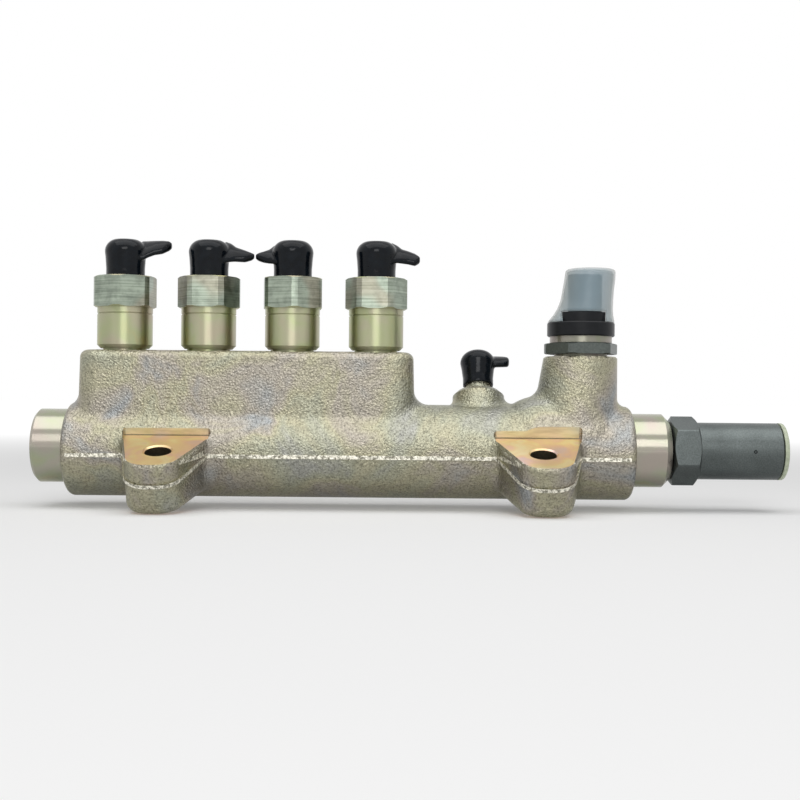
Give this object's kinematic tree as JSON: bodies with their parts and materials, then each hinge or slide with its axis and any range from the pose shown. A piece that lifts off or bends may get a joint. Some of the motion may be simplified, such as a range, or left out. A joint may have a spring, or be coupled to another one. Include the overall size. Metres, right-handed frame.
{
  "type": "fuel rail",
  "caption": "Forged common rail with a row of flow dampers under rubber caps, inlet, pressure sensor, pressure limiter and two mounting ears.",
  "frame": {"origin": "in the left mounting hole, on the seat under the ear", "axes": "+X along the rail to the pressure limiter, +Z along the flow dampers toward the outlets; the ears point to -Y and their bolts lean 20 degrees toward -Y"},
  "size_m": [0.3549, 0.0777, 0.1271],
  "materials": {
    "rail": "yellow zinc plated forging",
    "damper": "yellow zinc plated, turned",
    "steel": "ground",
    "spring_steel": "drawn wire",
    "black_rubber": "glossy",
    "sensor_steel": "satin",
    "black_plastic": "satin",
    "cover_plastic": "translucent",
    "limiter_steel": "dark satin plating",
    "plug_plastic": "satin",
    "board": "satin",
    "contact": "tinned"
  },
  "bodies": {
    "rail": {"rail_body": "rail", "flow_damper_body_1": "damper", "flow_damper_stopper_1": "steel", "flow_damper_spring_1": "spring_steel", "dust_cap_1": "black_rubber", "flow_damper_body_2": "damper", "flow_damper_stopper_2": "steel", "flow_damper_spring_2": "spring_steel", "dust_cap_2": "black_rubber", "flow_damper_body_3": "damper", "flow_damper_stopper_3": "steel", "flow_damper_spring_3": "spring_steel", "dust_cap_3": "black_rubber", "flow_damper_body_4": "damper", "flow_damper_stopper_4": "steel", "flow_damper_spring_4": "spring_steel", "dust_cap_4": "black_rubber", "inlet_dust_cap": "black_rubber", "sensor_body": "sensor_steel", "sensor_seal": "black_rubber", "sensor_element": "steel", "sensor_circuit_board": "board", "sensor_connector": "black_plastic", "sensor_dust_cap": "cover_plastic", "sensor_terminal_1": "contact", "sensor_terminal_2": "contact", "sensor_terminal_3": "contact", "limiter_housing": "limiter_steel", "limiter_valve_seat": "steel", "limiter_valve_guide": "steel", "limiter_spring": "spring_steel", "limiter_shim": "steel", "limiter_outlet_plug": "plug_plastic"},
    "damper_piston_1": {"flow_damper_piston_1": "steel"},
    "damper_piston_2": {"flow_damper_piston_2": "steel"},
    "damper_piston_3": {"flow_damper_piston_3": "steel"},
    "damper_piston_4": {"flow_damper_piston_4": "steel"},
    "limiter_valve": {"limiter_valve": "steel"}
  },
  "joints": [
    {"name": "damper_piston_1_slide", "type": "slide", "parent": "rail", "child": "damper_piston_1", "axis": [0, 0, 1], "range_m": [0, 0.0034], "stiffness_N_per_m": 400, "springref_m": -0.003, "deforming": ["flow_damper_spring_1"]},
    {"name": "damper_piston_2_slide", "type": "slide", "parent": "rail", "child": "damper_piston_2", "axis": [0, 0, 1], "range_m": [0, 0.0034], "stiffness_N_per_m": 400, "springref_m": -0.003, "deforming": ["flow_damper_spring_2"]},
    {"name": "damper_piston_3_slide", "type": "slide", "parent": "rail", "child": "damper_piston_3", "axis": [0, 0, 1], "range_m": [0, 0.0034], "stiffness_N_per_m": 400, "springref_m": -0.003, "deforming": ["flow_damper_spring_3"]},
    {"name": "damper_piston_4_slide", "type": "slide", "parent": "rail", "child": "damper_piston_4", "axis": [0, 0, 1], "range_m": [0, 0.0034], "stiffness_N_per_m": 400, "springref_m": -0.003, "deforming": ["flow_damper_spring_4"]},
    {"name": "limiter_valve_slide", "type": "slide", "parent": "rail", "child": "limiter_valve", "axis": [1, 0, 0], "range_m": [0, 0.0006], "stiffness_N_per_m": 1000, "springref_m": -0.002, "deforming": ["limiter_spring"]}
  ]
}
